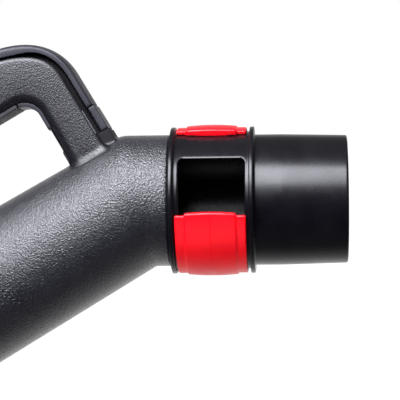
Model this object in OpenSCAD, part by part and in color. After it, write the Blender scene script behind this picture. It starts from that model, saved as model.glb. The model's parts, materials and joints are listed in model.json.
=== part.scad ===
// Hand grip for a vacuum cleaner hose, in millimetres.
// The spout runs along +X and its shoulder is the plane X = 0. The grip tube falls away behind it
// at bend_deg, with a D-shaped handle loop on top, and ends in a swivelling cuff for the hose.

/* [Spout] */
// Length of the spout in front of its shoulder
spout_len = 41.1; // [34:0.1:60]
// Length of the straight seat at the spout's root
spout_seat_len = 12; // [8:1:20]
// Radius of the straight seat
spout_root_r = 29.2; // [28.8:0.1:29.6]
// Radius at the spout's mouth
spout_tip_r = 28.5; // [28:0.1:28.7]
// Radius of the air passage at the mouth
mouth_bore_r = 26.1; // [25:0.1:26.4]

/* [Regulator] */
// Radius of the two flanges that keep the ring in place
flange_r = 32.8; // [32:0.1:34]
// Thickness of each flange
flange_t = 2.1; // [1.5:0.1:2.5]
// Length of the seat between the flanges
seat_len = 33; // [32.4:0.1:36]
// Radius of the seat that the ring turns on
seat_r = 30.7; // [30:0.1:31]
// Width of the red ring
ring_w = 31; // [28:0.1:31.4]
// Radius of the ring's edge bands
ring_band_r = 32.6; // [32.2:0.1:32.8]
// Radius of the ring at the crown of its middle
ring_crown_r = 33.8; // [33.5:0.1:34.5]
// Lower and upper angle of the gap in the ring, from the near side upwards
ring_gap = [-8.1, 68.7];
// How far the ring closes and opens from the position shown
ring_travel = [-55, 25];
// Height of the air window's lower and upper edges above the axis
window_z = [-15.5, 19];

/* [Grip tube] */
// Angle between the spout and the grip tube
bend_deg = 30; // [20:1:40]
// Distance from the shoulder back to the bend
bend_back = 52.4; // [51:0.1:56]
// Outer radius of the grip at the bend
grip_r = 29.4; // [29:0.1:30]
// Outward draft of the grip tube, in millimetres of radius for each millimetre of length
grip_draft = 0.0178; // [0.01:0.001:0.02]
// Wall of the two grip shells
shell_t = 2.2; // [2:0.1:2.4]
// Radius of the bend on its centre line
bend_r = 30.5; // [30.2:0.1:31.5]
// Length of the grip tube behind the bend
grip_len = 171.7; // [165:0.1:190]

/* [Handle loop] */
// Front edge of the loop, behind the bend
loop_front = -5.1; // [-6:0.1:-4]
// Crest of the loop above the tube's axis
loop_top = 93.1; // [90:0.1:98]
// Middle of the loop, behind the bend
loop_mid = 66.8; // [60:0.1:72]
// Half the depth of the loop from side to side
loop_half = 13.5; // [12:0.1:15]
// Front edge of the finger gap
gap_front = 18.1; // [17.5:0.1:20]
// Upper edge of the finger gap
gap_top = 62.4; // [61:0.1:63]

/* [Hose cuff] */
// Length of the cuff behind the grip tube
cuff_len = 33.5; // [30:0.5:45]
// Radius of the socket that takes the hose
socket_r = 29; // [28.5:0.1:29.4]
// Depth of that socket
socket_len = 28; // [20:1:30]

/* [Hidden] */
$fn = 72;
far = 400;                        // larger than the whole grip
joint_gap = 0.3;                  // gap at butt joints and beside moving parts
running_gap = 0.08;               // radial gap of a running fit

// Spout tube, from the front back
seat_x = [-flange_t - seat_len, -flange_t];
neck_x = seat_x[0] - flange_t;    // rear face of the rear flange
spigot_x = neck_x - 5.6;
spigot_r = 27.1;
duct_bore_r = 24.9;
lock_x = [neck_x - 4.2, neck_x - 2.4];
lock_r = 26.2;
seal_t = 1.4;
window_x = [seat_x[0] + 2.4, seat_x[1] - 1.9];
window_corner_r = 2;

// Regulator ring
ring_x = [seat_x[0] + 0.7, seat_x[0] + 0.7 + ring_w];
ring_in_r = seat_r + running_gap;
ring_band_w = 4;
ring_shoulder_r = 33.2;
pip_deg = 180;
pip_half_deg = 3;
pip_half_w = 3;
pip_r = 29.3;
stop_margin_deg = 1;

// Grip tube and duct
bend_tangent = bend_r * tan(bend_deg / 2);
duct_r = 26.8;
duct_end = 150;
duct_rib_u = [55, 105];
rib_t = 2;
shell_end_wall = 10.7;
collar_len = 7.9;
collar_seat_r = 30.5;

// Handle loop, in the plane of the grip tube: u back along the tube, v up from its axis
corner_u = 38;                    // where the front corner meets the flat top
corner_v = 62;
corner_power = 2.3;               // a little squarer than an ellipse
corner_steps = 14;
leg_lean = 1;
foot_v = 20;
strip_t = 4.5;
strip_half = 11;
groove_w = 1.6;
rim_half = 9.5;
tongue_half = 2;
tongue_in = 7.9;
rim_t = 3.6;
lining_t = 2;
lining_half = 11;
lining_wall = 2.6;
face_t = 2.4;
gap_corner_r = 7.5;
latch_v = [34.8, 46.6];
pad_u = [24.8, 2 * loop_mid - 24.8];
cavity_foot_v = 36;

// Screws: u, v of each
screw_at = [[8.7, 42], [14.5, 75], [42, 79], [91.6, 79], [119.1, 75], [124.9, 42]];
shank_r = 1.5;
shank_tip = 8;
head_r = 3.5;
head_t = 2.4;
head_seat = 10.5;
boss_r = 4;

// Swivel cuff, by distance u behind the bend
cuff_flange_u = [duct_end + 3.4, duct_end + 7.5];
cuff_flange_r = 29.3;
cuff_neck_r = 26.9;
cuff_u = [grip_len + joint_gap, grip_len + joint_gap + cuff_len];
cuff_r = 32.4;
cuff_rib_h = 0.8;
cuff_rib_count = 24;

// Radius of the grip tube at a distance u behind the bend
function grip_r_at(u) = grip_r + grip_draft * (u - bend_tangent);

// Front half of the loop's outline, set in from the silhouette, from its foot to its crest
function loop_front_half(inset) = concat(
    [[loop_front - leg_lean + inset, foot_v]],
    [for (i = [0 : corner_steps])
        let (a = 90 * i / corner_steps, e = 2 / corner_power)
        [corner_u - (corner_u - loop_front - inset) * pow(cos(a), e),
         corner_v + (loop_top - corner_v - inset) * pow(sin(a), e)]]);
function mirrored(points) =
    [for (i = [len(points) - 1 : -1 : 0]) [2 * loop_mid - points[i][0], points[i][1]]];
function loop_outline(inset) = concat(loop_front_half(inset), mirrored(loop_front_half(inset)));

// Outline of the finger gap, grown outwards by a lining's thickness
function gap_front_half(grow) = concat(
    [[gap_front - grow, foot_v]],
    [for (a = [0 : 15 : 90])
        [gap_front + gap_corner_r - (gap_corner_r + grow) * cos(a),
         gap_top - gap_corner_r + (gap_corner_r + grow) * sin(a)]]);
function gap_outline(grow) = concat(gap_front_half(grow), mirrored(gap_front_half(grow)));

// Solid of revolution about X, from one station to another
module rod(x0, x1, r0, r1 = undef) {
    translate([x0, 0, 0]) rotate([0, 90, 0])
        cylinder(h = x1 - x0, r1 = r0, r2 = is_undef(r1) ? r0 : r1);
}

module ring(x0, x1, outer, inner) {
    difference() {
        rod(x0, x1, outer);
        rod(x0 - 1, x1 + 1, inner);
    }
}

// Sweeps a profile of (radius, x) about X, from one angle to another above the near side
module sweep(from, to) {
    rotate([0, 90, 0]) rotate([0, 0, -90 - to]) rotate_extrude(angle = to - from, $fn = 96)
        children();
}

// Frame of the grip tube: local X runs back along the tube, Y to the near side, Z to the loop
module on_grip() {
    translate([-bend_back, 0, 0]) rotate([180, 180 - bend_deg, 0]) children();
}

// Bent round bar, from a station on the neck back to a distance behind the bend
module bent_rod(front_x, end_u, r, draft) {
    rod(-bend_back + bend_tangent, front_x, r);
    translate([-bend_back + bend_tangent, 0, -bend_r]) rotate([90, 0, 0]) rotate([0, 0, 90])
        rotate_extrude(angle = bend_deg) translate([bend_r, 0]) circle(r);
    on_grip() rod(bend_tangent, end_u, r, r + draft * (end_u - bend_tangent));
}

// Plate in the plane of the grip tube, between two depths towards the near side
module plate(y0, y1) {
    translate([0, y1, 0]) rotate([90, 0, 0]) linear_extrude(y1 - y0) children();
}

module between_v(v0, v1, u0 = -far, u1 = far) {
    translate([u0, v0]) square([u1 - u0, v1 - v0]);
}

module strip_band(inset0, inset1) {
    difference() {
        polygon(loop_outline(inset0));
        polygon(loop_outline(inset1));
    }
}

// Opening in the shells: the finger gap with room for its linings, stepped on the legs
module shell_gap() {
    polygon(gap_outline(0));
    intersection() {
        polygon(gap_outline(0.6));
        between_v(latch_v[0] + 0.6, far);
    }
    intersection() {
        polygon(gap_outline(lining_t));
        between_v(latch_v[1] + 0.3, far);
    }
}

module loop_half_body() {
    plate(0, rim_half) difference() {
        polygon(loop_outline(strip_t));
        shell_gap();
    }
    plate(0, loop_half) difference() {
        polygon(loop_outline(strip_t + groove_w));
        shell_gap();
    }
    plate(0, loop_half) intersection() {
        difference() {
            polygon(loop_outline(0));
            shell_gap();
        }
        between_v(foot_v, latch_v[0] - joint_gap);
    }
}

// Hollow of the loop, and the slot in its rim for the tongue of the strip
module loop_half_hollow() {
    plate(-1, loop_half - face_t) intersection() {
        difference() {
            polygon(loop_outline(strip_t + rim_t));
            polygon(gap_outline(lining_t + lining_wall));
        }
        between_v(cavity_foot_v, far);
    }
    plate(-1, tongue_half + 0.1) intersection() {
        strip_band(0, strip_t + rim_t);
        between_v(latch_v[0] - joint_gap, far);
    }
}

// Half of the grip: side 1 is the near half, side -1 the far half with the screw heads
module grip_half(side) {
    difference() {
        intersection() {
            union() {
                difference() {
                    union() {
                        bent_rod(neck_x, grip_len, grip_r, grip_draft);
                        on_grip() mirror([0, side < 0 ? 1 : 0, 0]) loop_half_body();
                    }
                    bent_rod(neck_x + 1, grip_len - shell_end_wall, grip_r - shell_t, grip_draft);
                    on_grip() mirror([0, side < 0 ? 1 : 0, 0]) loop_half_hollow();
                    on_grip() rod(grip_len - shell_end_wall - 1, grip_len + 1, cuff_neck_r + 0.4);
                    on_grip() ring(grip_len - collar_len - 0.1, grip_len + 1, 2 * grip_r, collar_seat_r);
                }
                ring(lock_x[0], lock_x[1], grip_r - shell_t + 0.2, lock_r);
                on_grip() for (u = duct_rib_u)
                    ring(u, u + rib_t, grip_r_at(u) - shell_t + 0.2, duct_r + 0.1);
                on_grip() for (p = screw_at) translate([p[0], 0, p[1]]) rotate([90, 0, 0])
                    cylinder(h = 2 * loop_half - 1, r = boss_r, center = true, $fn = 36);
            }
            on_grip() translate([-far / 2, side > 0 ? 0 : -far, -far / 2]) cube(far);
        }
        on_grip() for (p = screw_at) translate([p[0], 0, p[1]]) rotate([90, 0, 0]) {
            translate([0, 0, -9]) cylinder(h = 9.01, r = shank_r + 0.05, $fn = 24);
            cylinder(h = far, r = shank_r + 0.3, $fn = 24);
            translate([0, 0, head_seat]) cylinder(h = far, r = head_r + joint_gap, $fn = 36);
        }
    }
}

module screw(i) {
    color("#8c8f94") on_grip() translate([screw_at[i][0], 0, screw_at[i][1]]) rotate([90, 0, 0])
        difference() {
            union() {
                translate([0, 0, -shank_tip])
                    cylinder(h = shank_tip + head_seat, r = shank_r, $fn = 24);
                translate([0, 0, head_seat]) cylinder(h = head_t, r = head_r, $fn = 36);
            }
            translate([0, 0, head_seat + head_t - 1.4]) cylinder(h = 2, r = 1.9, $fn = 6);
        }
}

module spout_tube() {
    color("#1d1d21") difference() {
        union() {
            rod(-1, spout_seat_len, spout_root_r);
            rod(spout_seat_len, spout_len - 0.8, spout_root_r, spout_tip_r);
            rod(spout_len - 0.8, spout_len, spout_tip_r, spout_tip_r - 0.5);
            rod(-flange_t, 0, flange_r);
            rod(seat_x[0] - 1, seat_x[1] + 1, seat_r);
            rod(neck_x, seat_x[0], flange_r);
            rod(spigot_x, neck_x + 1, spigot_r);
        }
        rod(spigot_x - 1, spout_len + 1, duct_bore_r, mouth_bore_r);
        ring(lock_x[0] - 0.1, lock_x[1] + 0.1, spigot_r + 1, lock_r - 0.1);
        rotate([90, 0, 0]) linear_extrude(far) air_window();
        sweep(pip_deg - ring_travel[1] - pip_half_deg - stop_margin_deg,
              pip_deg - ring_travel[0] + pip_half_deg + stop_margin_deg)
            translate([pip_r - 0.4, ring_mid() - pip_half_w - joint_gap])
                square([4, 2 * (pip_half_w + joint_gap)]);
    }
}

function ring_mid() = (ring_x[0] + ring_x[1]) / 2;

// Rounded rectangle of the air window, in X and Z
module air_window() {
    r = window_corner_r;
    translate([window_x[0] + r, window_z[0]])
        square([window_x[1] - window_x[0] - 2 * r, window_z[1] - window_z[0]]);
    translate([window_x[0], window_z[0] + r])
        square([window_x[1] - window_x[0], window_z[1] - window_z[0] - 2 * r]);
    for (x = [window_x[0] + r, window_x[1] - r], z = [window_z[0] + r, window_z[1] - r])
        translate([x, z]) circle(r, $fn = 24);
}

module regulator_ring() {
    half = ring_w / 2;
    barrel = half - ring_band_w;
    color("#d3202e") union() {
        sweep(ring_gap[1], 360 + ring_gap[0])
            polygon(concat(
                [[ring_in_r, ring_mid() - half], [ring_band_r, ring_mid() - half],
                 [ring_band_r, ring_mid() - barrel]],
                [for (i = [-4 : 4])
                    [ring_crown_r - (ring_crown_r - ring_shoulder_r) * pow(i / 4, 2),
                     ring_mid() + barrel * i / 4]],
                [[ring_band_r, ring_mid() + barrel], [ring_band_r, ring_mid() + half],
                 [ring_in_r, ring_mid() + half]]));
        sweep(pip_deg - pip_half_deg, pip_deg + pip_half_deg)
            translate([pip_r, ring_mid() - pip_half_w])
                square([ring_in_r + 0.5 - pip_r, 2 * pip_half_w]);
    }
}

module spigot_seal() {
    color("#303034") ring(spigot_x - seal_t, spigot_x, spigot_r, duct_bore_r);
}

module elbow_duct() {
    color("#3a3b40") difference() {
        bent_rod(spigot_x - seal_t, duct_end, duct_r, 0);
        bent_rod(spigot_x, duct_end + 1, duct_bore_r, 0);
    }
}

module left_shell() {
    color("#2f3034") grip_half(1);
}

module right_shell() {
    color("#2b2c30") grip_half(-1);
}

module outer_strip() {
    color("#47484e") on_grip() {
        plate(-strip_half, strip_half) strip_stretch() strip_band(0, strip_t - 0.05);
        plate(-tongue_half, tongue_half) strip_stretch() strip_band(strip_t - 0.1, tongue_in);
    }
}

// Keeps what the strip covers: all above the latch in front, and down to the foot at the rear
module strip_stretch() {
    intersection() {
        children();
        union() {
            between_v(latch_v[1] + joint_gap, far, -far, loop_mid);
            between_v(latch_v[0], far, loop_mid - 1, far);
        }
    }
}

module strip_latch() {
    color("#3f4046") on_grip() {
        plate(-strip_half, strip_half) latch_stretch() strip_band(0.5, strip_t - 0.05);
        plate(-tongue_half, tongue_half) latch_stretch() strip_band(strip_t - 0.1, tongue_in);
    }
}

module latch_stretch() {
    intersection() {
        children();
        between_v(latch_v[0], latch_v[1], -far, loop_mid);
    }
}

module lining_band() {
    difference() {
        polygon(gap_outline(lining_t - 0.05));
        polygon(gap_outline(0));
    }
}

module front_inner_strip() {
    color("#47484e") on_grip() plate(-lining_half, lining_half) intersection() {
        lining_band();
        between_v(latch_v[1] + 0.6, far, 0, pad_u[0] - joint_gap);
    }
}

module rear_inner_strip() {
    color("#47484e") on_grip() plate(-lining_half, lining_half) intersection() {
        lining_band();
        between_v(latch_v[1] + 0.6, far, pad_u[1] + joint_gap, far);
    }
}

module finger_pad() {
    color("#37383d") on_grip() plate(-lining_half, lining_half) intersection() {
        lining_band();
        between_v(gap_top - 1, far, pad_u[0], pad_u[1]);
    }
}

module rear_collar() {
    color("#222226") on_grip()
        ring(grip_len - collar_len, grip_len, grip_r_at(grip_len), collar_seat_r + 0.05);
}

module glide_ring() {
    color("#d8d8d2") on_grip()
        ring(cuff_flange_u[1] + joint_gap, grip_len - shell_end_wall, 29.8, cuff_neck_r + running_gap);
}

module swivel_seal() {
    color("#303034") on_grip() ring(duct_end, cuff_flange_u[0] - joint_gap, 29, duct_bore_r);
}

module swivel_cuff() {
    color("#222226") on_grip() difference() {
        union() {
            rod(cuff_flange_u[0], cuff_flange_u[1], cuff_flange_r);
            rod(cuff_flange_u[0], cuff_u[0] + 1, cuff_neck_r);
            rod(cuff_u[0], cuff_u[1] - 0.8, cuff_r);
            rod(cuff_u[1] - 0.8, cuff_u[1], cuff_r, cuff_r - 0.8);
            for (i = [1 : cuff_rib_count]) rotate([360 * i / cuff_rib_count, 0, 0])
                translate([cuff_u[0] + 4, -1, cuff_r - 2])
                    cube([cuff_len - 10, 2, 2 + cuff_rib_h]);
        }
        rod(cuff_flange_u[0] - 1, cuff_u[1] - socket_len + 0.1, duct_bore_r);
        rod(cuff_u[1] - socket_len, cuff_u[1] + 1, socket_r);
    }
}

spout_tube();
regulator_ring();
spigot_seal();
elbow_duct();
left_shell();
right_shell();
outer_strip();
strip_latch();
front_inner_strip();
rear_inner_strip();
finger_pad();
rear_collar();
glide_ring();
swivel_seal();
swivel_cuff();
screw(0);  // screw_front_leg
screw(1);  // screw_front_corner
screw(2);  // screw_bar_front
screw(3);  // screw_bar_rear
screw(4);  // screw_rear_corner
screw(5);  // screw_rear_leg
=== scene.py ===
"""Looks of a vacuum hose hand grip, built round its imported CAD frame.

Lengths in this script are millimetres in one of two frames, and meshes are written in metres:
  row frame    x along the spout, y away from the camera, z up, as in the CAD
  grip frame   u back along the grip tube from the bend, y across, v up towards the handle loop
Most shapes are signed distance fields, negative inside, turned into quads by surface_nets(). The
strips and the pad are swept profiles. Angles about an axis are in degrees where a name ends in _DEG.
"""
import json
import math

import bpy
import numpy as np
from mathutils import Matrix, Vector


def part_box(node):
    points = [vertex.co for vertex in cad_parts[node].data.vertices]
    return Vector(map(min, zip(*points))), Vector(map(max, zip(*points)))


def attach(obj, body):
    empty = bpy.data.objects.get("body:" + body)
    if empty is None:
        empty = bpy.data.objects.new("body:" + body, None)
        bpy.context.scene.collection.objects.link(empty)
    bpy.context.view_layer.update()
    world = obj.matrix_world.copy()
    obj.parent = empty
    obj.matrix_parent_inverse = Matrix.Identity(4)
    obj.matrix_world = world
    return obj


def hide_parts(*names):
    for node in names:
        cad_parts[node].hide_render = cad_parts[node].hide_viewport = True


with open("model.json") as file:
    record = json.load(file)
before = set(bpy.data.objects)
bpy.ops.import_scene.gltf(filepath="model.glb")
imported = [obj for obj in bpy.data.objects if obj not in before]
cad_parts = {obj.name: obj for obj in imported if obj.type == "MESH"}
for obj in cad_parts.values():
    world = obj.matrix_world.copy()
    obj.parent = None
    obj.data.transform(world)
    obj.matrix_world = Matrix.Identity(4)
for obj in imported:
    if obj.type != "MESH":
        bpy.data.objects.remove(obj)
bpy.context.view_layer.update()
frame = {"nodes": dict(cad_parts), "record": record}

MM = 0.001
COARSE = 1


# -------- sizes from the frame

def box_mm(node):
    """Lowest and highest corner of a CAD node, in millimetres."""
    low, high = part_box(node)
    return np.array(low) / MM, np.array(high) / MM


def joint(name):
    """The record's entry for a joint."""
    return next(j for j in frame["record"]["behaviour"]["joints"] if j["name"] == name)


SWIVEL = joint("hose_swivel")        # its axis is the grip tube's
U_AXIS = np.array(SWIVEL["axis"]) / np.linalg.norm(SWIVEL["axis"])
V_AXIS = np.array([U_AXIS[2], 0.0, -U_AXIS[0]])
Y_AXIS = np.array([0.0, 1.0, 0.0])
BEND_ANGLE = math.acos(-U_AXIS[0])
swivel_point = np.array(SWIVEL["pos_m"]) / MM
BEND = swivel_point - U_AXIS * swivel_point[2] / U_AXIS[2]   # where the two axes cross

spout_low, spout_high = box_mm("spout_tube")
ring_low, ring_high = box_mm("regulator_ring")
FLANGE_R = spout_high[2]
SPOUT_END = spout_high[0]
RING_MID = (ring_low[0] + ring_high[0]) / 2
RING_HALF = (ring_high[0] - ring_low[0]) / 2
CROWN_R = -ring_low[2]               # the ring's radius at its crown

# Spout tube
ROOT_R, TIP_R = 29.2, 28.5
SEAT_LAND = 12.0                     # straight part of the spout, before its taper
FLANGE_T = 2.1
SEAT_LEN = 33.0
SEAT_R = 30.7
SPIGOT_R = 27.1
BORE_R, MOUTH_R = 24.9, 26.1
NECK_X = -2 * FLANGE_T - SEAT_LEN
SPIGOT_X = spout_low[0]
LOCK_R, LOCK_X = 26.2, (NECK_X - 4.2, NECK_X - 2.4)      # groove that the shells lock into
WINDOW_X = (-FLANGE_T - SEAT_LEN + 2.4, -FLANGE_T - 1.9)
WINDOW_Z = (-15.5, 18.1)
WINDOW_CORNER_R = 2.2
STOP_GROOVE_DEG = (151.0, 239.0)

# Ring
RING_IN_R = 30.78
BAND_R, BAND_W = 32.6, 4.2
SHOULDER_R = 33.2
RING_GAP_DEG = (-9.3, 66.8)
END_BOW, END_STEP = 0.5, 1.0
PIP_R, PIP_HALF, PIP_HALF_Z = 29.3, 3.0, 1.6
PARTING_R = 0.16

# Grip
GRIP_R = 29.4
GRIP_DRAFT = 0.0178
BEND_R = 30.5
TANGENT = BEND_R * math.tan(BEND_ANGLE / 2)
SHELL_T = 2.2
GRIP_LEN = 171.7
END_WALL = 10.7
COLLAR_LEN = 7.9
COLLAR_SEAT_R = 30.5
DUCT_R = 26.8
DUCT_RIB_U, RIB_T = (55, 105), 2
SCREW_AT = ((8.7, 42), (14.5, 75), (42, 79), (91.6, 79), (119.1, 75), (124.9, 42))
SCREW_NODES = ("screw_front_leg", "screw_front_corner", "screw_bar_front",
               "screw_bar_rear", "screw_rear_corner", "screw_rear_leg")
HEAD_R, HEAD_T, HEAD_SEAT = 3.5, 2.4, 10.5
RECESS_HALF, RECESS_DEPTH = 1.65, 1.4
SHANK_R, SHANK_CORE, SHANK_TIP, THREAD_PITCH = 1.5, 1.15, 8.0, 1.2
BOSS_R, PILOT_DEPTH = 4.0, 9.0

# Handle loop: its outline, and from outside to inside the strip, the groove beside it and the panel
LOOP_FRONT, LOOP_TOP, LOOP_MID = -5.4, 92.8, 66.8
LOOP_HALF = 13.5
CORNER_U, CORNER_V, CORNER_POWER = 37.5, 62.0, 2.33
LEG_LEAN, FOOT_V = 0.6, 20.0
LEG_BLEND = 14.0                     # the stretch of u over which a corner turns into a leg
ROOT_V, CAVITY_V = 15.0, 36.0        # where the loop starts inside the tube, and its cavities start
STRIP_T, STRIP_HALF, STRIP_THINNING, SKIRT = 4.5, 11.0, 0.31, 0.85
LATCH_V, LATCH_T, LATCH_HALF = (34.8, 46.6), 4.0, 10.5
GROOVE_TOP, GROOVE_LEG = 2.0, 1.2    # width of the groove beside the strip
LIP_INSET = 0.6                      # how far the shells' lip keeps back from the groove's wall
PANEL_CROWN, PANEL_EDGE_R = 0.5, 0.9
PANEL_INNER, PANEL_INNER_R = 1.5, 4.5
BEAD_IN, BEAD_R = 0.3, 0.3
RIM_HALF, RIM_T, FACE_T = 7.0, 3.6, 2.4
FOOT_HALF = 10.5
TONGUE_HALF, TONGUE_IN = 2.0, 7.9
GAP_FRONT, GAP_TOP, GAP_CORNER_R = 18.1, 62.4, 7.5
GAP_HEIGHT = GAP_TOP + 40            # of the gap's field, from the gap's top down into the tube
LINING_T, LINING_HALF, LINING_WALL = 2.0, 11.0, 2.6
LINING_CROWN, LINING_PROUD = 0.6, 0.3
NOTCH = 0.6
PAD_U = 24.8
PLAY = 0.3                           # between a strip or lining and what it stands against

# Shells
RIDGE_R = 1.5                        # softness of the crest where neck and tube meet
PANEL_BLEND_R, CORE_BLEND_R = 3.0, 0.5
SEAM_R = 0.3
SHELL_STEP = 0.84                    # grid of the shells' meshes
PANEL_GRAIN, FILLET_GRAIN, FOOT_GRAIN = 0.4, 0.3, -0.95      # see shell_grain()
# grain marks of the groove beside the strip, and of the latch bead's painted highlight
CREVICE, BEAD_HIGHLIGHT = -1.0, 2.0
SHARP_DEG = 55                       # edges that turn by more than this are shaded sharp

# Hose cuff, by distance u behind the bend
CUFF_FLANGE_U, CUFF_FLANGE_R = (153.4, 157.5), 29.3
CUFF_NECK_R = 26.9
CUFF_U = (172.0, 205.5)
CUFF_R, CUFF_RIB_H, CUFF_RIBS = 32.4, 0.8, 24
SOCKET_R, SOCKET_LEN = 29.0, 28.0
CUFF_RIB_HALF = 1.0
GLIDE_U, GLIDE_R, GLIDE_GROOVES, GLIDE_GROOVE_R = (157.8, 161.0), (26.98, 29.8), 12, 0.6
SEAL_U, SEAL_R = (150.0, 153.1), 29.0


# -------- fields

def round_max(a, b, r):
    """Intersection of two fields with a rounded edge of radius r."""
    return np.minimum(-r, np.maximum(a, b)) + np.hypot(np.maximum(a + r, 0), np.maximum(b + r, 0))


def round_min(a, b, r):
    """Union of two fields with a concave fillet of radius r."""
    return np.maximum(r, np.minimum(a, b)) - np.hypot(np.maximum(r - a, 0), np.maximum(r - b, 0))


def slab(x, low, high):
    """Distance to the space between two planes."""
    return np.maximum(low - x, x - high)


def rounded_box(a, b, half_a, half_b, r):
    """Distance to a rectangle centred on the origin of a plane, with corners of radius r."""
    qa, qb = np.abs(a) - half_a + r, np.abs(b) - half_b + r
    return np.hypot(np.maximum(qa, 0), np.maximum(qb, 0)) + np.minimum(np.maximum(qa, qb), 0) - r


def tube_wall(r, x, outer, inner, low, high, edge):
    """Round tube with rounded edges, between two stations of its axis."""
    return round_max(round_max(r - outer, inner - r, edge), slab(x, low, high), edge)


def loop_half(steps=60):
    """Front half of the loop's silhouette: a leaning leg, then a superellipse corner up to the flat top."""
    angle = np.linspace(0, math.pi / 2, steps + 1)
    power = 2 / CORNER_POWER
    u = CORNER_U - (CORNER_U - LOOP_FRONT) * np.cos(angle).clip(0) ** power
    v = CORNER_V + (LOOP_TOP - CORNER_V) * np.sin(angle) ** power
    return np.vstack([[LOOP_FRONT - LEG_LEAN, FOOT_V], np.column_stack([u, v])])


def gap_half(steps=16):
    """Front half of the finger gap's outline, from its foot to its flat top."""
    angle = np.linspace(0, math.pi / 2, steps + 1)
    u = GAP_FRONT + GAP_CORNER_R * (1 - np.cos(angle))
    v = GAP_TOP - GAP_CORNER_R * (1 - np.sin(angle))
    return np.vstack([[GAP_FRONT, FOOT_V], np.column_stack([u, v])])


def whole(half):
    """A half outline and its mirror about the middle of the loop."""
    return np.vstack([half, np.column_stack([2 * LOOP_MID - half[::-1, 0], half[::-1, 1]])])


def polygon_distance(points, a, b):
    """Signed distance in a plane to a closed polygon, negative inside."""
    nearest = np.full(np.broadcast(a, b).shape, np.inf)
    inside = np.zeros(nearest.shape, bool)
    for (a0, b0), (a1, b1) in zip(points, np.roll(points, -1, 0)):
        da, db = a1 - a0, b1 - b0
        t = np.clip(((a - a0) * da + (b - b0) * db) / (da * da + db * db), 0, 1)
        nearest = np.minimum(nearest, (a - a0 - t * da) ** 2 + (b - b0 - t * db) ** 2)
        if db != 0:
            inside ^= ((b0 > b) != (b1 > b)) & (a < a0 + (b - b0) * da / db)
    distance = np.sqrt(nearest)
    return np.where(inside, -distance, distance)


OUTLINE_LOW, OUTLINE_HIGH, OUTLINE_STEP = (-18.0, 5.0), (160.0, 102.0), 0.4
OUTLINE_TABLE = polygon_distance(
    whole(loop_half()),
    np.arange(OUTLINE_LOW[0], OUTLINE_HIGH[0], OUTLINE_STEP)[:, None],
    np.arange(OUTLINE_LOW[1], OUTLINE_HIGH[1], OUTLINE_STEP)[None, :])


def outline_distance(u, v):
    """Distance in the grip plane to the loop's silhouette, negative inside, read from the table."""
    last = np.array(OUTLINE_TABLE.shape) - 1.001
    a = np.clip((u - OUTLINE_LOW[0]) / OUTLINE_STEP, 0, last[0])
    b = np.clip((v - OUTLINE_LOW[1]) / OUTLINE_STEP, 0, last[1])
    i, j = a.astype(int), b.astype(int)
    a, b = a - i, b - j
    front = OUTLINE_TABLE[i, j] * (1 - b) + OUTLINE_TABLE[i, j + 1] * b
    back = OUTLINE_TABLE[i + 1, j] * (1 - b) + OUTLINE_TABLE[i + 1, j + 1] * b
    return front * (1 - a) + back * a


def gap_distance(u, v):
    """Distance in the grip plane to the finger gap, negative inside it."""
    half = GAP_HEIGHT / 2
    return rounded_box(u - LOOP_MID, v - GAP_TOP + half, LOOP_MID - GAP_FRONT, half, GAP_CORNER_R)


def bent_bar(u, y, v, r, draft):
    """Distance to the endless bent bar of the grip, and how far in front of the bend each point lies."""
    ahead, above = TANGENT - u, v + BEND_R
    angle = np.arctan2(ahead, above)
    c, s = math.cos(BEND_ANGLE), math.sin(BEND_ANGLE)
    neck_x = ahead * c - above * s
    neck_v = ahead * s + above * c - BEND_R
    over = angle > BEND_ANGLE
    across = np.where(u > TANGENT, v, np.where(over, neck_v, np.hypot(ahead, above) - BEND_R))
    radius = r + draft * np.maximum(u - TANGENT, 0)
    return np.hypot(across, y) - radius, np.where(over, neck_x, 0.0)


def mitred_bar(u, y, v):
    """Distance to the grip's outside, where neck and tube meet in a softened mitre, and how far in
    front of the bend each point lies along the neck."""
    c, s = math.cos(BEND_ANGLE), math.sin(BEND_ANGLE)
    ahead, above = -c * u - s * v, c * v - s * u
    neck = np.hypot(above, y) - GRIP_R
    tube = np.hypot(v, y) - GRIP_R - GRIP_DRAFT * np.maximum(u - TANGENT, 0)
    softness = RIDGE_R * np.clip(np.minimum(v, above) / GRIP_R, 0, 1)
    on_crest = (v > 0) & (above > 0)
    nearer = np.where(ahead > u, neck, tube)
    return np.where(on_crest, round_max(neck, tube, softness), nearer), ahead - TANGENT


# -------- meshing

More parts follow.
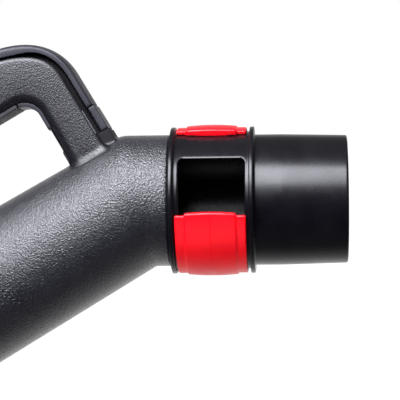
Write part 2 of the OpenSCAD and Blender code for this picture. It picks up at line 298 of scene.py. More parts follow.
def surface_nets(values, wrap):
    """Vertices, in grid steps, and quads of the zero surface. With wrap the second axis is a circle."""
    if wrap:
        values = np.concatenate([values, values[:, :1]], 1)
    inside = values < 0
    cells = tuple(n - 1 for n in values.shape)
    corners = np.zeros(cells, np.uint8)
    for i in (0, 1):
        for j in (0, 1):
            for k in (0, 1):
                corners += inside[i:i + cells[0], j:j + cells[1], k:k + cells[2]]
    active = (corners > 0) & (corners < 8)
    index = np.full(cells, -1, np.int64)
    index[active] = np.arange(active.sum())
    cell = np.argwhere(active)
    total, count = np.zeros((len(cell), 3)), np.zeros(len(cell))
    steps = np.eye(3, dtype=int)
    for axis in range(3):
        one, two = (axis + 1) % 3, (axis + 2) % 3
        for i in (0, 1):
            for j in (0, 1):
                a = cell + i * steps[one] + j * steps[two]
                fa, fb = values[tuple(a.T)], values[tuple((a + steps[axis]).T)]
                crossed = (fa < 0) != (fb < 0)
                t = np.where(crossed, fa / np.where(crossed, fa - fb, 1), 0)
                total += (a + t[:, None] * steps[axis]) * crossed[:, None]
                count += crossed
    quads = []
    for axis in range(3):
        one, two = (axis + 1) % 3, (axis + 2) % 3
        lower = np.take(inside, range(values.shape[axis] - 1), axis)
        upper = np.take(inside, range(1, values.shape[axis]), axis)
        edge = np.argwhere(lower != upper)
        keep = np.ones(len(edge), bool)
        for a in (one, two):
            keep &= (edge[:, a] < cells[a]) & ((edge[:, a] > 0) | (wrap and a == 1))
        edge = edge[keep]
        outwards = lower[tuple(edge.T)]
        around = []
        for d_one, d_two in ((-1, -1), (0, -1), (0, 0), (-1, 0)):
            at = edge.copy()
            at[:, one] += d_one
            at[:, two] += d_two
            if wrap:
                at[:, 1] %= cells[1]
            around.append(index[tuple(at.T)])
        around = np.column_stack(around)
        around[~outwards] = around[~outwards][:, ::-1]
        quads.append(around)
    return total / count[:, None], np.vstack(quads)


def settle(field, points, reach):
    """Moves points onto the field's zero surface, by at most reach each time."""
    h = 0.04
    for _ in range(3):
        value = field(*points.T)
        slope = np.column_stack([
            (field(*(points + d).T) - field(*(points - d).T)) / (2 * h) for d in np.eye(3) * h])
        shift = -value / np.maximum((slope ** 2).sum(1), 0.25)
        points = points + slope * np.clip(shift, -reach, reach)[:, None]
    return points


def block_mesh(field, low, high, step):
    """Mesh of a field over a box of the grip frame."""
    grids = [np.arange(a, b + step, step) for a, b in zip(low, high)]
    values = field(grids[0][:, None, None], grids[1][None, :, None], grids[2][None, None, :])
    points, quads = surface_nets(values, False)
    return settle(field, points * step + np.array(low), step / 2), quads.tolist()


def turned_mesh(field, x, turns, r):
    """Mesh of a field(x, y, z) about the x axis, at given stations along it and out from it."""
    angle = np.arange(turns) * 2 * math.pi / turns
    values = field(x[:, None, None], r * np.cos(angle)[None, :, None], r * np.sin(angle)[None, :, None])
    points, quads = surface_nets(values, True)
    at_x = np.interp(points[:, 0], range(len(x)), x)
    at_r = np.interp(points[:, 2], range(len(r)), r)
    angle = points[:, 1] * 2 * math.pi / turns
    points = np.column_stack([at_x, at_r * np.cos(angle), at_r * np.sin(angle)])
    return settle(field, points, 0.3), quads.tolist()


def stations(low, high, step):
    """Values from low to high, about a step apart."""
    return np.linspace(low, high, round((high - low) / (step * COARSE)) + 1)


def rounded_polygon(corners, radii, steps=4):
    """Closed polygon with each corner turned into a curve that starts that far before it."""
    corners = np.array(corners, float)
    points = []
    for i, (corner, r) in enumerate(zip(corners, radii)):
        before = corners[i - 1] - corner
        after = corners[(i + 1) % len(corners)] - corner
        start = corner + before / np.linalg.norm(before) * r
        end = corner + after / np.linalg.norm(after) * r
        for t in np.linspace(0, 1, steps + 1):
            points.append((1 - t) ** 2 * start + 2 * t * (1 - t) * corner + t ** 2 * end)
    return np.array(points)


def swept_mesh(path, profile, step=1.2, end_r=0.5, thinning=0.0):
    """Sweeps a profile of (depth, y) along a path of the grip plane, with rounded ends.

    The depth is towards the right of the path, and thinning is the share of it lost down the legs.
    """
    length = np.concatenate([[0], np.cumsum(np.linalg.norm(np.diff(path, axis=0), axis=1))])
    count = max(round(length[-1] / (step * COARSE)), 8)
    turn = np.linspace(0, math.pi / 2, 5)[:-1]
    along = end_r * (1 - np.cos(turn))
    inset = end_r * (1 - np.sin(turn))
    middle = np.linspace(end_r, length[-1] - end_r, count)
    at = np.concatenate([along, middle, length[-1] - along[::-1]])
    inset = np.concatenate([inset, np.zeros(count), inset[::-1]])
    u, v = np.interp(at, length, path[:, 0]), np.interp(at, length, path[:, 1])
    ahead = np.column_stack([np.interp(at + 0.6, length, path[:, i]) - np.interp(at - 0.6, length, path[:, i])
                             for i in (0, 1)])
    ahead /= np.linalg.norm(ahead, axis=1)[:, None]
    normal = np.column_stack([ahead[:, 1], -ahead[:, 0]])
    centre = (profile.min(0) + profile.max(0)) / 2
    half = (profile.max(0) - profile.min(0)) / 2
    rings = []
    for i in range(len(at)):
        shape = centre + (profile - centre) * (1 - inset[i] / half)
        shape[:, 0] *= 1 - thinning * leg_share(u[i])
        rings.append(np.column_stack([u[i] + normal[i, 0] * shape[:, 0], shape[:, 1],
                                      v[i] + normal[i, 1] * shape[:, 0]]))
    n, faces = len(profile), []
    for i in range(len(at) - 1):
        faces += [[i * n + k, i * n + (k + 1) % n, (i + 1) * n + (k + 1) % n, (i + 1) * n + k]
                  for k in range(n)]
    faces += [list(range(n))[::-1], [(len(at) - 1) * n + k for k in range(n)]]
    return np.vstack(rings), faces


def grip_to_row(points):
    """Points of the grip frame, in the row frame."""
    return BEND + points[:, :1] * U_AXIS + points[:, 1:2] * Y_AXIS + points[:, 2:] * V_AXIS


def outward(points, faces):
    """The faces, turned round if they enclose a negative volume."""
    first = points[[face[0] for face in faces]]
    volume = 0.0
    for i in (1, 2):
        second = points[[face[i] for face in faces]]
        third = points[[face[(i + 1) % len(face)] for face in faces]]
        volume += np.einsum("ij,ij->", first, np.cross(second, third))
    return [face[::-1] for face in faces] if volume < 0 else faces


def new_piece(name, points, faces, material, body, node, grain=None):
    """A mesh piece from points in the row frame, riding on a body in place of a CAD node."""
    mesh = bpy.data.meshes.new(name)
    mesh.from_pydata((points * MM).tolist(), [], outward(points, faces))
    mesh.shade_smooth()
    mesh.set_sharp_from_angle(angle=math.radians(SHARP_DEG))
    if grain is not None:
        mesh.attributes.new("grain", "FLOAT", "POINT").data.foreach_set("value", grain.astype(np.float32))
    mesh.materials.append(material)
    piece = bpy.data.objects.new(name, mesh)
    bpy.context.scene.collection.objects.link(piece)
    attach(piece, body)
    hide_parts(node)


# -------- spout and ring

def spout_field(x, y, z):
    """Spout, two flanges with the ring's seat between them, air window, stop groove and spigot."""
    r = np.hypot(y, z)
    taper = ROOT_R - (ROOT_R - TIP_R) * np.clip((x - SEAT_LAND) / (SPOUT_END - SEAT_LAND), 0, 1)
    bore = BORE_R + (MOUTH_R - BORE_R) * (x - SPIGOT_X) / (SPOUT_END - SPIGOT_X)
    spout = round_max(r - taper, slab(x, -FLANGE_T, SPOUT_END), 0.8)
    front = round_max(r - FLANGE_R, slab(x, -FLANGE_T, 0), 0.5)
    rear = round_max(r - FLANGE_R, slab(x, NECK_X, NECK_X + FLANGE_T), 0.5)
    seat = np.maximum(r - SEAT_R, slab(x, NECK_X + 0.6, -0.6))
    spigot = round_max(r - SPIGOT_R, slab(x, SPIGOT_X, NECK_X + 1), 0.3)
    solid = round_min(round_min(spout, front, 0.5), seat, 0.4)
    solid = np.minimum(round_min(solid, rear, 0.4), spigot)
    lock = np.maximum(LOCK_R - 0.1 - r, slab(x, LOCK_X[0] - 0.1, LOCK_X[1] + 0.1))
    window = rounded_box(x - sum(WINDOW_X) / 2, z - sum(WINDOW_Z) / 2, (WINDOW_X[1] - WINDOW_X[0]) / 2,
                         (WINDOW_Z[1] - WINDOW_Z[0]) / 2, WINDOW_CORNER_R)
    low, high = np.radians(STOP_GROOVE_DEG)
    turn = np.arctan2(z, -y) % (2 * math.pi)
    groove = (np.abs(turn - (low + high) / 2) - (high - low) / 2) * r
    groove = np.maximum(groove, np.abs(x - RING_MID) - PIP_HALF - 0.3)
    groove = np.maximum(groove, PIP_R - 0.4 - r)
    solid = round_max(solid, bore - r, 0.5)
    solid = np.maximum(np.maximum(solid, -lock), -groove)
    return round_max(solid, -np.maximum(window, y), 0.7)


def make_spout(material):
    x = stations(SPIGOT_X - 1, SPOUT_END + 1, 0.5)
    r = stations(BORE_R - 1, FLANGE_R + 1, 0.45)
    points, faces = turned_mesh(spout_field, x, 264 // COARSE, r)
    new_piece("spout_tube_skin", points, faces, material, "grip", "spout_tube")


def ring_field(x, y, z):
    """C-shaped ring: a crowned middle between flat bands, a parting line and the stop pip inside."""
    r = np.hypot(y, z)
    across = np.abs(x - RING_MID)
    barrel = RING_HALF - BAND_W
    share = np.minimum(across / barrel, 1)
    crown = CROWN_R - (CROWN_R - SHOULDER_R) * share ** 2
    turn = np.arctan2(z, -y)
    low, high = np.radians(RING_GAP_DEG)
    below = r * np.sin(np.clip(turn - low, -math.pi / 2, math.pi / 2))
    above = r * np.sin(np.clip(high - turn, -math.pi / 2, math.pi / 2))
    end = np.minimum(below, above)
    middle = round_max(round_max(r - crown, across - barrel, 0.45), end + END_BOW * share ** 2, 0.9)
    bands = round_max(round_max(r - BAND_R, across - RING_HALF, 0.7), end + END_BOW + END_STEP, 0.7)
    parting = np.hypot(across, r - CROWN_R) - PARTING_R
    body = np.maximum(round_min(middle, bands, 0.25), -parting)
    pip = np.maximum(np.abs(z) - PIP_HALF_Z, across - PIP_HALF)
    pip = np.maximum(pip, slab(r, PIP_R, RING_IN_R + 0.5))
    return np.minimum(round_max(body, RING_IN_R - r, 0.25), np.maximum(pip, -y))


def make_ring(material):
    fine = np.linspace(-0.4, 0.4, 7) + RING_MID      # across the parting line
    x = np.concatenate([stations(RING_MID - RING_HALF - 1, RING_MID - 0.7, 0.45), fine,
                        stations(RING_MID + 0.7, RING_MID + RING_HALF + 1, 0.45)])
    r = stations(PIP_R - 0.6, CROWN_R + 0.8, 0.3)
    points, faces = turned_mesh(ring_field, x, 300 // COARSE, r)
    new_piece("regulator_ring_skin", points, faces, material, "regulator", "regulator_ring")


# -------- grip shells

NECK_END = NECK_X - BEND[0] - TANGENT - 0.05      # from the end of the bend to the spout's rear flange


def tube_field(u, y, v):
    """The grip tube's outside, with the step at its rear end for the collar."""
    bar, ahead = mitred_bar(u, y, v)
    collar_step = np.minimum(np.hypot(y, v) - COLLAR_SEAT_R, u - (GRIP_LEN - COLLAR_LEN))
    bar = np.maximum(bar, collar_step)
    return round_max(round_max(bar, ahead - NECK_END, 0.6), u - GRIP_LEN, 0.4)


def leg_share(u):
    """0 along the loop's top, rising to 1 round its corners and down its legs."""
    from_end = np.minimum(u, 2 * LOOP_MID - u)
    share = np.clip((LEG_BLEND - from_end) / LEG_BLEND, 0, 1)
    return share * share * (3 - 2 * share)


def panel_inset(u):
    """How far the panel's edge lies inside the silhouette."""
    return STRIP_T + GROOVE_TOP + (GROOVE_LEG - GROOVE_TOP) * leg_share(u)


def loop_field(u, y, v):
    """The handle loop's outside, as two fields: its panels, and its core with the rim that carries
    the strips, the lip beside them, the linings' seats, and the foot in front of the latch."""
    depth = np.abs(y)
    outer, gap = outline_distance(u, v), gap_distance(u, v)
    inside = -(outer + panel_inset(u))
    across = (gap - inside) / np.maximum(np.abs(gap) + np.abs(inside), 1)
    face = depth - LOOP_HALF + PANEL_CROWN * across ** 2
    panel = round_max(face, -inside, PANEL_EDGE_R)
    panel = round_max(panel, PANEL_INNER - gap, PANEL_INNER_R)
    wall_gap = gap - LINING_CROWN * np.minimum(depth / LINING_HALF, 1) ** 2
    rim = np.maximum(depth - RIM_HALF, outer + STRIP_T)
    lip = round_max(depth - LINING_HALF, LIP_INSET - inside, 0.4)
    foot = round_max(round_max(depth - FOOT_HALF, outer, 1.3), v - LATCH_V[0] + PLAY, 0.5)
    low = round_max(v - LATCH_V[0] - NOTCH, -wall_gap, 0.5)
    notch = round_max(v - LATCH_V[1] - PLAY, NOTCH - wall_gap, 0.3)
    wall = np.minimum(np.minimum(low, notch), LINING_T - gap)
    core = round_max(np.minimum(np.minimum(rim, lip), foot), wall, 0.4)
    return panel, core


def hollow_field(u, y, v):
    """Everything inside the two shells: the tube's bore, the loop's cavities and the strip's slot."""
    bore, ahead = bent_bar(u, y, v, GRIP_R - SHELL_T, GRIP_DRAFT)
    ribs = [slab(u, at, at + RIB_T) for at in DUCT_RIB_U]
    lock = slab(ahead, NECK_END + LOCK_X[0] - NECK_X, NECK_END + LOCK_X[1] - NECK_X)
    duct, _ = bent_bar(u, y, v, DUCT_R + 0.1, 0.0)
    bore = np.maximum(bore, -np.maximum(np.minimum(*ribs), -duct))
    bore = np.maximum(bore, -np.maximum(lock, LOCK_R - GRIP_R + SHELL_T - bore))
    bore = np.maximum(bore, u - GRIP_LEN + END_WALL)
    mouth = np.maximum(np.hypot(y, v) - CUFF_NECK_R - 0.4, GRIP_LEN - END_WALL - 1 - u)
    outer, gap = outline_distance(u, v), gap_distance(u, v)
    cavity = np.maximum(outer + STRIP_T + RIM_T, LINING_T + LINING_WALL - gap)
    cavity = np.maximum(np.maximum(cavity, np.abs(y) - LOOP_HALF + FACE_T), CAVITY_V - v)
    for at_u, at_v in SCREW_AT:
        cavity = np.maximum(cavity, BOSS_R - np.hypot(u - at_u, v - at_v))
    slot = np.maximum(slab(outer, -STRIP_T - RIM_T, 0), np.abs(y) - TONGUE_HALF - 0.1)
    slot = np.maximum(slot, LATCH_V[0] - PLAY - v)
    return np.minimum(np.minimum(bore, mouth), np.minimum(cavity, slot))


def screw_holes(u, y, v, side):
    """Pilot holes in the near half, clearance holes and head recesses in the far half."""
    holes = np.inf
    for at_u, at_v in SCREW_AT:
        spoke = np.hypot(u - at_u, v - at_v)
        if side < 0:
            hole = np.maximum(spoke - SHANK_R - 0.05, -y - PILOT_DEPTH)
        else:
            hole = np.minimum(spoke - SHANK_R - 0.3, round_max(spoke - HEAD_R - 0.3, HEAD_SEAT - y, 0.1))
        holes = np.minimum(holes, hole)
    return holes


def shell_field(side):
    """Field of one shell: side -1 is the near half, and side 1 the far half with the screw heads."""
    def field(u, y, v):
        panel, core = loop_field(u, y, v)
        solid = round_min(tube_field(u, y, v), np.maximum(panel, ROOT_V - v), PANEL_BLEND_R)
        solid = round_min(solid, np.maximum(core, ROOT_V - v), CORE_BLEND_R)
        solid = np.maximum(solid, -hollow_field(u, y, v))
        solid = np.maximum(solid, -screw_holes(u, y, v, side))
        return round_max(solid, 0.02 - side * y, SEAM_R)
    return field


def shell_grain(points):
    """Depth of the moulded grain: 1 on the tube and less on the loop's panels and the fillets under
    them. It is 0 on smooth edges and inside, and -1 or near it in the groove beside the strip."""
    u, y, v = points.T
    above = tube_field(u, y, v)
    outer, gap = outline_distance(u, v), gap_distance(u, v)
    panel = np.minimum(-outer - panel_inset(u) - 0.9, gap - PANEL_INNER)
    panel = np.minimum(np.abs(y) - LINING_HALF - 0.3, panel)
    on_panel = np.clip(panel / 0.5, 0, 1) * (np.minimum(*loop_field(u, y, v)) < 0.2)
    on_tube = np.clip(1 - np.abs(above) / 0.12, 0, 1)
    ahead = mitred_bar(u, y, v)[1]
    on_tube *= np.clip((NECK_END - ahead - 0.5) / 0.5, 0, 1)
    on_fillet = np.clip(3 - above, 0, 1) * np.clip(gap + 1, 0, 1) * (panel > 0)
    grain = np.maximum(np.maximum(PANEL_GRAIN * on_panel, FILLET_GRAIN * on_fillet), on_tube)
    groove = (outer > -panel_inset(u) - 0.2) & (outer < 0.5) & (np.abs(y) < STRIP_HALF + 1)
    groove &= np.abs(above) > 1
    return np.where(groove, np.where(v > LATCH_V[0], CREVICE, FOOT_GRAIN), grain)


def latch_bead(side):
    """Thin raised line on a shell's panel, along the groove beside the latch."""
    turn = np.arange(8) * math.pi / 4
    middle = STRIP_T + GROOVE_LEG + BEAD_IN, side * (LOOP_HALF - PANEL_CROWN)
    profile = np.column_stack([middle[0] + BEAD_R * np.cos(turn), middle[1] + BEAD_R * np.sin(turn)])
    path = cut_path(whole(loop_half()), LATCH_V[0] - FOOT_V, LATCH_V[1] - FOOT_V)
    points, faces = swept_mesh(path, profile, 0.8, BEAD_R / 2)
    return points, outward(points, faces)


def make_shells(material):
    """Both halves of the grip, each with the bead beside the latch, which carries a painted highlight."""
    reach = LOOP_HALF + 20
    for name, side, span in (("left_shell", -1, (-reach, 0.8)), ("right_shell", 1, (-0.8, reach))):
        low, high = (-30, span[0], -35), (GRIP_LEN + 1, span[1], LOOP_TOP + 1)
        points, faces = block_mesh(shell_field(side), low, high, SHELL_STEP * COARSE)
        bead, bead_faces = latch_bead(side)
        faces = outward(points, faces) + [[len(points) + i for i in face] for face in bead_faces]
        # the bead's grain mark gives it a painted highlight
        grain = np.concatenate([shell_grain(points), np.full(len(bead), BEAD_HIGHLIGHT)])
        new_piece(name + "_skin", grip_to_row(np.vstack([points, bead])), faces, material, "grip", name,
                  grain)


# -------- strips and pad

def cut_path(path, start, end):
    """The stretch of a path between two distances along it."""
    length = np.concatenate([[0], np.cumsum(np.linalg.norm(np.diff(path, axis=0), axis=1))])
    at = np.unique(np.concatenate([[start, end], length[(length > start) & (length < end)]]))
    return np.column_stack([np.interp(at, length, path[:, 0]), np.interp(at, length, path[:, 1])])


def path_length(path):
    return np.linalg.norm(np.diff(path, axis=0), axis=1).sum()


def strip_profile(root, half, edge_r, crown):
    """A strip's cross-section: a crowned face, a skirt beside the shells' rim, and a tongue underneath."""
    skirt = root + SKIRT
    corners = [(crown, -half), (skirt, -half), (skirt, -RIM_HALF - PLAY), (root, -RIM_HALF - PLAY),
               (root, -TONGUE_HALF), (TONGUE_IN, -TONGUE_HALF), (TONGUE_IN, TONGUE_HALF), (root, TONGUE_HALF),
               (root, RIM_HALF + PLAY), (skirt, RIM_HALF + PLAY), (skirt, half), (crown, half)]
    radii = [edge_r, 0.5, 0.1, 0.1, 0.1, 0.3, 0.3, 0.1, 0.1, 0.1, 0.5, edge_r]
    for share in (0.6, 0.4, 0.2, 0.0, -0.2, -0.4, -0.6):
        corners.append((crown * share ** 2, half * share))
        radii.append(0.8)
    return rounded_polygon(corners, radii, 7)


def make_strips(material):
    """The strip round the loop's rim, and the latch that closes it on the front leg."""
    path = whole(loop_half())
    total = path_length(path)
    latch_low, latch_high = LATCH_V[0] - FOOT_V, LATCH_V[1] - FOOT_V
    pieces = (       # name, start and end along the path, and the arguments of strip_profile()
        ("outer_strip", latch_high + 0.5, total - latch_low, STRIP_T - 0.05, STRIP_HALF, 1.9, 1.3),
        ("strip_latch", latch_low, latch_high, LATCH_T, LATCH_HALF, 1.0, 0.3))
    for name, start, end, *section in pieces:
        stretch = cut_path(path, start, end)
        points, faces = swept_mesh(stretch, strip_profile(*section), thinning=STRIP_THINNING)
        new_piece(name + "_skin", grip_to_row(points), faces, material, "grip", name)


def make_linings(strip_material, pad_material):
    """The two corner linings of the finger gap, and the pad between them."""
    path = whole(gap_half())
    total = path_length(path)
    start = LATCH_V[1] + NOTCH - FOOT_V
    corner_end = path_length(gap_half()) + PAD_U - GAP_FRONT - GAP_CORNER_R
    thick = LINING_T - 0.05
    y = np.linspace(LINING_HALF, -LINING_HALF, 11)
    crown = [(LINING_PROUD - LINING_CROWN * (at / LINING_HALF) ** 2, at) for at in y]
    corners = crown + [(-thick, -LINING_HALF), (-thick, LINING_HALF)]
    profile = rounded_polygon(corners, [0.4] + [0.3] * 9 + [0.4, 0.2, 0.2])
    pieces = (("front_inner_strip", start, corner_end - PLAY, strip_material, "strip_black"),
              ("finger_pad", corner_end, total - corner_end, pad_material, "pad_black"),
              ("rear_inner_strip", total - corner_end + PLAY, total - start, strip_material, "strip_black"))
    for name, low, high, material, slot in pieces:
        points, faces = swept_mesh(cut_path(path, low, high), profile)
        new_piece(name + "_skin", grip_to_row(points), faces, material, "grip", name)


# -------- collar, cuff, duct and seals

def collar_field(x, y, z):
    """Ring round the shells' rear ends, flush with the tube."""
    outer = GRIP_R + GRIP_DRAFT * (GRIP_LEN - TANGENT)
    start = GRIP_LEN - COLLAR_LEN + 0.05
    return tube_wall(np.hypot(y, z), x, outer, COLLAR_SEAT_R + 0.05, start, GRIP_LEN, 0.5)


def cuff_field(x, y, z):
    """Swivelling cuff: a flange and neck inside the grip, and a ribbed barrel with the hose socket."""
    r, turn = np.hypot(y, z), np.arctan2(z, y)
    flange = round_max(r - CUFF_FLANGE_R, slab(x, *CUFF_FLANGE_U), 0.3)
    neck = np.maximum(r - CUFF_NECK_R, slab(x, CUFF_FLANGE_U[0], CUFF_U[0] + 1))
    barrel = round_max(r - CUFF_R, slab(x, *CUFF_U), 0.9)
    pitch = 2 * math.pi / CUFF_RIBS
    across = np.abs((turn / pitch) % 1 - 0.5) * pitch * r
    rib_mid, rib_len = (CUFF_U[0] + CUFF_U[1] - 2) / 2, CUFF_U[1] - CUFF_U[0] - 10
    rib = rounded_box(x - rib_mid, 0.5 * pitch * r - across, rib_len / 2, CUFF_RIB_HALF, 0.9)
    rib = round_max(np.maximum(rib, CUFF_R - 2 - r), r - CUFF_R - CUFF_RIB_H, 0.4)
    solid = np.minimum(round_min(barrel, rib, 0.4), np.minimum(flange, neck))
    passage = r - BORE_R
    socket = np.maximum(r - SOCKET_R, CUFF_U[1] - SOCKET_LEN - x)
    return round_max(solid, -np.minimum(passage, socket), 0.4)


def seal_field(low, high, outer):
    """Rubber seal with a shallow groove between two sealing lips."""
    middle = (low + high) / 2

    def field(x, y, z):
        r = np.hypot(y, z)
        wall = tube_wall(r, x, outer, BORE_R, low, high, 0.3)
        groove = np.hypot(x - middle, r - outer) - (high - low) / 5
        return np.maximum(wall, -groove)
    return field


def glide_field(x, y, z):
    """Acetal glide ring with shallow grease grooves across its rear face."""
    r, turn = np.hypot(y, z), np.arctan2(z, y)
    wall = tube_wall(r, x, GLIDE_R[1], GLIDE_R[0], *GLIDE_U, 0.3)
    pitch = 2 * math.pi / GLIDE_GROOVES
    across = np.abs((turn / pitch) % 1 - 0.5) * pitch * r
    return np.maximum(wall, -np.hypot(across, x - GLIDE_U[1]) + GLIDE_GROOVE_R)


def make_rear(materials):
    """The pieces turned about the grip tube's axis, and the spigot's seal, turned about the spout's."""
    start = GRIP_LEN - COLLAR_LEN
    turned = (       # name, field, u range and step, turns, radius range and step, material, body, slot
        ("rear_collar", collar_field, (start - 1, GRIP_LEN + 1, 0.5), 256,
         (COLLAR_SEAT_R - 0.8, COLLAR_SEAT_R + 2.6, 0.3), "spout", "grip", "spout_black"),
        ("swivel_cuff", cuff_field, (CUFF_FLANGE_U[0] - 1, CUFF_U[1] + 1, 0.6), 288,
         (BORE_R - 1, CUFF_R + 1.6, 0.4), "cuff", "hose_cuff", "cuff_black"),
        ("swivel_seal", seal_field(*SEAL_U, SEAL_R), (SEAL_U[0] - 0.6, SEAL_U[1] + 0.6, 0.3), 160,
         (BORE_R - 0.8, SEAL_R + 0.8, 0.4), "rubber", "grip", "seal_rubber"),
        ("glide_ring", glide_field, (GLIDE_U[0] - 0.6, GLIDE_U[1] + 0.6, 0.3), 240,
         (GLIDE_R[0] - 0.8, GLIDE_R[1] + 0.8, 0.4), "acetal", "grip", "acetal_white"))
    for name, field, u_range, turns, r_range, finish, body, slot in turned:
        points, faces = turned_mesh(field, stations(*u_range), turns // COARSE, stations(*r_range))
        new_piece(name + "_skin", grip_to_row(points), faces, materials[finish], body, name)
    seal = seal_field(SPIGOT_X - 1.4, SPIGOT_X, SPIGOT_R)
    points, faces = turned_mesh(seal, stations(SPIGOT_X - 2, SPIGOT_X + 0.6, 0.2), 160 // COARSE,
                                stations(BORE_R - 0.8, SPIGOT_R + 0.8, 0.3))
    new_piece("spigot_seal_skin", points, faces, materials["rubber"], "grip", "spigot_seal")


def finish_duct(material):
    """The inner duct keeps its CAD shape."""
    duct = frame["nodes"]["elbow_duct"]
    duct.data.materials.clear()
    duct.data.materials.append(material)


# -------- screws

def screw_field(x, y, z):
    """Pan head with a hexagon recess on a threaded shank; x runs from the tip to the head."""
    r, turn = np.hypot(y, z), np.arctan2(z, y)
    head = round_max(r - HEAD_R, slab(x, HEAD_SEAT, HEAD_SEAT + HEAD_T), 0.5)
    phase = (x / THREAD_PITCH - turn / (2 * math.pi)) % 1
    thread = SHANK_R - (SHANK_R - SHANK_CORE) * np.abs(2 * phase - 1)
    tip = np.clip((x + SHANK_TIP) / 2, 0.35, 1)
    shank = np.minimum(r - SHANK_CORE * tip, (r - thread * tip) * 0.8)
    shank = np.maximum(shank, slab(x, -SHANK_TIP, HEAD_SEAT + 1))
    sector = math.pi / 3
    flat = r * np.cos((turn + sector / 2) % sector - sector / 2)
    recess = np.maximum(flat - RECESS_HALF, HEAD_SEAT + HEAD_T - RECESS_DEPTH - x)
    return round_max(np.minimum(head, shank), -recess, 0.12)


def make_screws(material):
    """One screw mesh, used six times."""
    def field(u, y, v):
        return screw_field(y, u, v)

    step = 0.22 * COARSE
    points, faces = block_mesh(field, (-HEAD_R - 0.5, -SHANK_TIP - 0.5, -HEAD_R - 0.5),
                               (HEAD_R + 0.5, HEAD_SEAT + HEAD_T + 0.5, HEAD_R + 0.5), step)
    for name, (at_u, at_v) in zip(SCREW_NODES, SCREW_AT):
        placed = grip_to_row(points + np.array([at_u, 0, at_v]))
        new_piece(name + "_skin", placed, faces, material, "grip", name)


# -------- materials

def linear(red, green, blue):
    """Linear colour of an sRGB colour given from 0 to 255."""
    parts = [c / 255 for c in (red, green, blue)]
    return tuple(c / 12.92 if c <= 0.04045 else ((c + 0.055) / 1.055) ** 2.4 for c in parts) + (1.0,)


def feed(links, value, socket):
    """Links a node's output to a socket, or sets the socket to a plain number or colour."""
    if hasattr(value, "links"):
        links.new(value, socket)
    else:
        socket.default_value = value


class Finish:
    """A material with helpers for procedural nodes in object coordinates, with sizes in millimetres."""

    def __init__(self, name):
        self.material = bpy.data.materials.new(name)
        self.material.use_nodes = True
        self.nodes = self.material.node_tree.nodes
        self.links = self.material.node_tree.links
        self.shader = self.nodes["Principled BSDF"]
        self.place = self.nodes.new("ShaderNodeTexCoord").outputs["Object"]

    def link(self, value, socket):
        feed(self.links, value, socket)

    def noise(self, period, detail=2.0, distortion=0.0):
        """Soft noise from 0 to 1."""
        node = self.nodes.new("ShaderNodeTexNoise")
        self.links.new(self.place, node.inputs["Vector"])
        node.inputs["Scale"].default_value = 1 / (period * MM)
        node.inputs["Detail"].default_value = detail
        node.inputs["Distortion"].default_value = distortion
        return node.outputs["Fac"]

    def cells(self, period):
        """Rounded cells, by the distance from each cell's middle."""
        node = self.nodes.new("ShaderNodeTexVoronoi")
        node.feature = "SMOOTH_F1"
        self.links.new(self.place, node.inputs["Vector"])
        node.inputs["Scale"].default_value = 1 / (period * MM)
        node.inputs["Smoothness"].default_value = 0.6
        return node.outputs["Distance"]

    def attribute(self, name):
        """A value stored on the mesh's vertices."""
        node = self.nodes.new("ShaderNodeAttribute")
        node.attribute_name = name
        return node.outputs["Fac"]

    def math(self, operation, a, b):
        node = self.nodes.new("ShaderNodeMath")
        node.operation = operation
        self.link(a, node.inputs[0])
        self.link(b, node.inputs[1])
        return node.outputs[0]

    def span(self, value, from_low, from_high, low, high):
        """Maps a range of a value to another range, and holds it at the ends."""
        node = self.nodes.new("ShaderNodeMapRange")
        self.links.new(value, node.inputs["Value"])
        for socket, number in zip(list(node.inputs)[1:5], (from_low, from_high, low, high)):
            self.link(number, socket)
        return node.outputs["Result"]

    def blend(self, share, a, b):
        """Colour between a, at share 0, and b, at share 1."""
        node = self.nodes.new("ShaderNodeMix")
        node.data_type = "RGBA"
        self.link(share, node.inputs["Factor"])
        self.link(a, node.inputs[6])
        self.link(b, node.inputs[7])
        return node.outputs[2]

    def bump(self, height, depth, below=None):
        """Normal of a relief of that depth, on top of the relief below."""
        node = self.nodes.new("ShaderNodeBump")
        node.inputs["Distance"].default_value = depth * MM
        self.links.new(height, node.inputs["Height"])
        if below is not None:
            self.links.new(below, node.inputs["Normal"])
        return node.outputs["Normal"]

    def finish(self, colour, roughness, normal):
        self.link(colour, self.shader.inputs["Base Color"])
        self.link(roughness, self.shader.inputs["Roughness"])
        self.links.new(normal, self.shader.inputs["Normal"])
        return self.material


